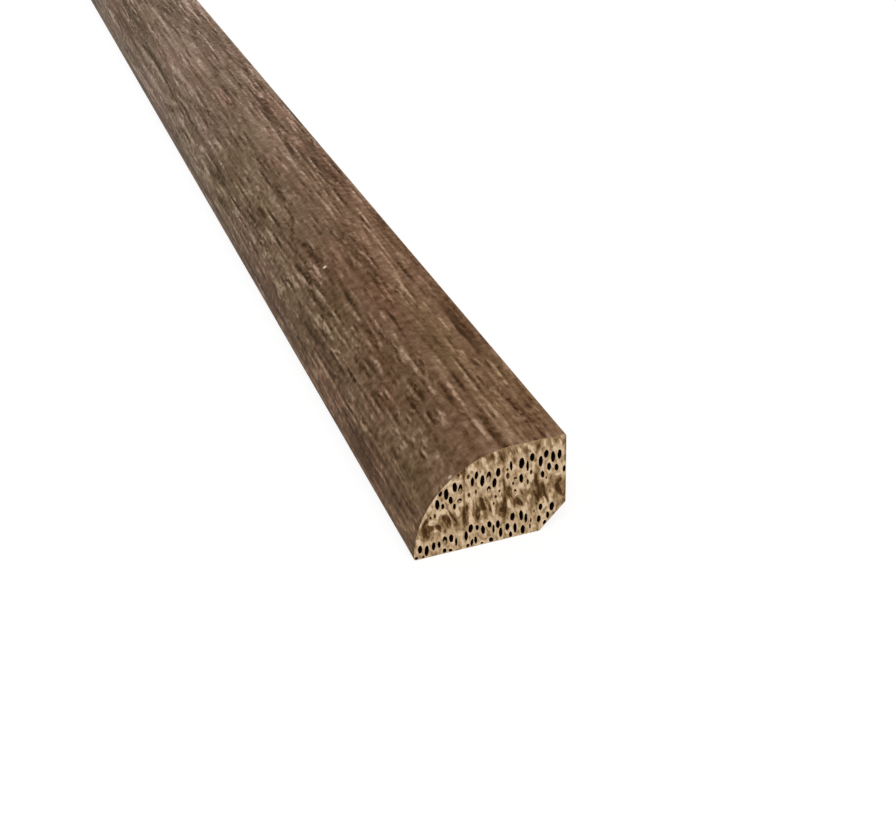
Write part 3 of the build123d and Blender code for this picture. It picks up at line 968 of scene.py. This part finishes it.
def grain(wire, place, far):
    """The noise of the grain, and the value that it makes with the strokes."""
    wander = (streaks(place, 3.5, 30.0, 1.0, 91.0) - 0.5) * 0.9
    bent = place + wander * (1.0, 0.0, 1.0)
    long_streaks = streaks(bent, 1.3, 34.0, 2.0, 11.0) - 0.5
    mottle = streaks(bent, 0.9, 1.2, 3.0, 37.0) - 0.5
    proud = streaks(bent, 1.0, 4.0, 2.0, 23.0).step(0.54, 0.68)
    # A copy of the proud fibres, shifted across, darkens the side beside each one: painted shade, as an
    # emboss of the relief.
    lee_shade = streaks(bent + (0.28, 0.0, 0.28), 1.0, 4.0, 2.0, 23.0).step(0.54, 0.68)
    lively = 0.35 + streaks(place, 4.0, 13.0, 1.0, 71.0).step(0.38, 0.62) * 0.9
    fine = long_streaks * 0.8 + mottle * 0.95 + (proud - lee_shade * 0.9) * lively * 0.28

    bold = (streaks(bent, 1.1, 60.0, 2.0, 57.0) - 0.5) * far
    beyond = past(place.part("Y"), NEAR_END, BOLDER)
    calm = past(place.part("X"), TOE, CALMER)
    crown = past(place.part("X"), ROUND_END, CROWNED)
    busy = (1.28 - calm * 0.40) * (1 + far * (crown * 0.50 - 0.32))
    noise = fine * busy * (1 + beyond * 0.3) + bold * (1.3 + beyond * 0.5) + far * 0.01

    beads = 0.14 + streaks(place, 0.9, 1.1, 2.0, 83.0).step(0.40, 0.60) * 0.34
    value = 0.49 + noise + kept(wire, "fibre") * busy * beads - kept(wire, "smear") * 0.16
    return noise, value


def stain_tint(wire, place, far):
    """What the stain's colour is multiplied by from place to place."""
    patch = 0.5 + (streaks(place, 5.0, 36.0, 2.0) - 0.5) * 0.65 + kept(wire, "hue") * 0.16
    warm = past(place.part("X"), 0.0, WARMER) * (1 - far * 0.8)
    # Darker and browner over the last two millimetres by the toe.
    by_toe = past(place.part("X"), TOE, DARKER_BY_TOE) * (1 - far)
    tint = ramp(patch, (0.25, OLIVE), (0.5, PLAIN), (0.75, REDDISH))
    tint = tint * ramp(warm, (0.0, COOL), (1.0, WARM))
    # Paler and greyer further from the near end: partly thinner stain, partly a painted sheen for the
    # grazing light seen along the stick.
    tint = tint * ramp(far, (0.0, PLAIN), (1.0, GREY_SHEEN))
    return tint * ramp(by_toe, (0.0, PLAIN), (1.0, DEEP_BROWN))


def stained_face():
    """Umber stain on brushed bamboo."""
    material, wire = new_material("umber_stain")
    place = in_mm(wire)
    far = past(place.part("Y"), NEAR_END, PALER)
    noise, value = grain(wire, place, far)
    colour = ramp(
        value,
        (0.0, paint(52, 32, 12)),
        (0.25, paint(80, 56, 34)),
        (0.5, paint(109, 84, 64)),
        (0.75, paint(138, 112, 92)),
        (1.0, paint(168, 143, 124)),
    )
    colour = colour * stain_tint(wire, place, far)
    colour = colour.mix(paint(226, 208, 188), chips(place))
    finish_material(wire, colour, 0.55 + noise * 0.2, value, bump_mm=0.05, gloss=0.04)
    return material


umber_stain = stained_face()
print(f"{umber_stain.name}: {len(umber_stain.node_tree.nodes)} nodes")

# %% [markdown]
# The back, the bevel and the bottom are never seen once the stick is nailed up, so they are planed and
# left raw. Planed bamboo is pale and straw coloured, with each vessel showing as a long thin brown dash.
# The strips differ a little in tint, and a trace of stain has run over the two edges of the show face.

# %% Leave the hidden faces raw
def strip_lines(place, width):
    """1 on the glue lines between the strips, fading out over a width in mm."""
    wander = (streaks(place, 0.6, 30.0, 2.0, 51.0) - 0.5) * 0.5
    across = place.part("X") - TOE + wander
    lines = [abs(across - line).step(width, 0.0) for line in GLUE_LINES]
    return lines[0] + lines[1] + lines[2]


def strip_tint(place):
    """A value from 0 to 1 that steps from strip to strip."""
    across = place.part("X") - TOE
    steps = [across.step(line - 0.02, line + 0.02) for line in GLUE_LINES]
    return steps[0] * 0.7 - steps[1] * 0.45 + steps[2] * 0.3


def raw_bamboo():
    """Planed bamboo with no finish."""
    material, wire = new_material("raw_bamboo")
    place = in_mm(wire)
    dashes = streaks(place, 0.28, 16.0, 2.0, 5.0)
    hairs = streaks(place, 0.12, 20.0, 2.0, 13.0)
    patches = streaks(place, 3.0, 60.0, 2.0, 29.0)
    colour = ramp(
        patches + (strip_tint(place) - 0.3) * 0.25,
        (0.35, paint(192, 157, 114)),
        (0.65, paint(220, 187, 144)),
    )
    colour = colour * (1 + (hairs - 0.5) * 0.5)
    colour = colour.mix(paint(134, 98, 62), dashes.step(0.56, 0.72) * 0.65)
    colour = colour.mix(paint(120, 90, 58), strip_lines(place, 0.12) * 0.6)
    over_back = place.part("Z") + (dashes - 0.5) * 3.0
    over_toe = place.part("X") - TOE - (dashes - 0.5) * 3.0
    bled = over_back.step(TOP - 1.1, TOP - 0.3) + over_toe.step(0.9, 0.2)
    colour = colour.mix(paint(88, 66, 47), bled * 0.85)
    height = hairs * 0.5 - dashes
    finish_material(wire, colour, 0.62 + (hairs - 0.5) * 0.2, height, bump_mm=0.03, gloss=0.3)
    return material


raw_faces = raw_bamboo()
print(f"{raw_faces.name}: {len(raw_faces.node_tree.nodes)} nodes")

# %% [markdown]
# On a sawn end the fibres stand on end. The wood is tan, palest round each pore, and brown on the blots. The
# places of all these are kept on the mesh, and noise gives them their ragged edges: it is squeezed to
# upright bars that lean a little, because that is the way the saw tears. The top edge is frayed and pale,
# the back edge is darker, and crumbs lie between the pores, with dark specks of painted shade for small
# holes. Everything adds up to one tone, from torn and brown to clean and pale. The glue lines are thin brown
# shadows.

# %% Saw the ends
SAW_LEAN = math.radians(12)
FRAYED_EDGE, DARK_EDGE = 0.9, 0.25  # mm along the top and along the back


def sawn_bamboo():
    """End grain straight from the saw."""
    material, wire = new_material("sawn_bamboo")
    place = in_mm(wire)
    leaning = wire.node("ShaderNodeMapping", None, {"Vector": place, "Rotation": (0.0, SAW_LEAN, 0.0)})
    bars = streaks(leaning * (1.0, 1.0, 0.3), 0.60, 40.0, 2.0, 3.0) - 0.5
    specks = streaks(leaning * (1.0, 1.0, 0.6), 0.50, 40.0, 2.0, 41.0) - 0.5
    ragged = bars * 1.4 + specks * 1.1
    torn = (kept(wire, "brown") + ragged).step(0.42, 0.86)
    fibre = (kept(wire, "pale") + ragged).step(0.35, 0.95)
    ring = (kept(wire, "halo") + ragged * 0.5).step(0.15, 0.70)
    crumbs = streaks(leaning * (1.0, 1.0, 0.5), 0.50, 40.0, 1.0, 67.0)
    # Dark specks between the pores: painted shade for small holes.
    hole_shade = crumbs.step(0.56, 0.66) * (1 - ring)
    frayed = place.part("Z").step(TOP - FRAYED_EDGE, TOP)
    by_back = place.part("X").step(BACK - DARK_EDGE, BACK)
    clean = ring * 0.29 + fibre * 0.38 + crumbs.step(0.42, 0.34) * 0.12 + frayed * 0.10
    lost = torn * (1 - ring * 0.5) * 0.42 + hole_shade * 0.16 + by_back * 0.12
    tone = 0.50 + bars * 0.9 + specks * 0.75 + clean - lost
    colour = ramp(
        tone - strip_lines(place, 0.36) * 0.17,
        (0.0, paint(66, 43, 19)),
        (0.2, paint(103, 75, 44)),
        (0.4, paint(138, 110, 76)),
        (0.6, paint(172, 143, 107)),
        (0.8, paint(205, 175, 138)),
        (1.0, paint(230, 202, 168)),
    )
    finish_material(wire, colour, 0.78 + specks * 0.2, tone, bump_mm=0.05, gloss=0.10)
    return material


sawn_ends = sawn_bamboo()
print(f"{sawn_ends.name}: {len(sawn_ends.node_tree.nodes)} nodes")

# %% [markdown]
# Inside, a pore is brown at its mouth and turns black with depth under painted shade, and its wall is ribbed
# lengthwise. Real depth alone would leave it grey, because light finds its way in, so the painted shade that
# the mesh keeps for each point darkens the wall as well. The plug of a plugged one is pale wood, with the
# dark wall round it.

# %% Darken the pores
def pore_wall():
    """The wall of a vessel, darkened inward by painted shade."""
    material, wire = new_material("pore_wall")
    place = in_mm(wire)
    ribs = streaks(place, 0.12, 3.0, 2.0, 7.0) - 0.5
    # Painted shade: the darkness kept for each point turns the wall from brown to black.
    colour = ramp(
        kept(wire, "depth") + ribs * 0.1,
        (0.0, paint(112, 80, 50)),
        (0.08, paint(76, 52, 29)),
        (0.16, paint(34, 21, 11)),
        (0.26, paint(8, 4, 2)),
        (1.0, paint(3, 1, 1)),
    )
    finish_material(wire, colour, 0.85 + ribs * 0.2, ribs, bump_mm=0.03, gloss=0.05)
    return material


pore_walls = pore_wall()
for finish in (umber_stain, raw_faces, sawn_ends, pore_walls):
    stick_mesh.materials.append(finish)
print("finishes on the stick:", [finish.name for finish in stick_mesh.materials])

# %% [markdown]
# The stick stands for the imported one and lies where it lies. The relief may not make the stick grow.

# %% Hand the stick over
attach(stick, "root")
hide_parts("shoe_moulding")
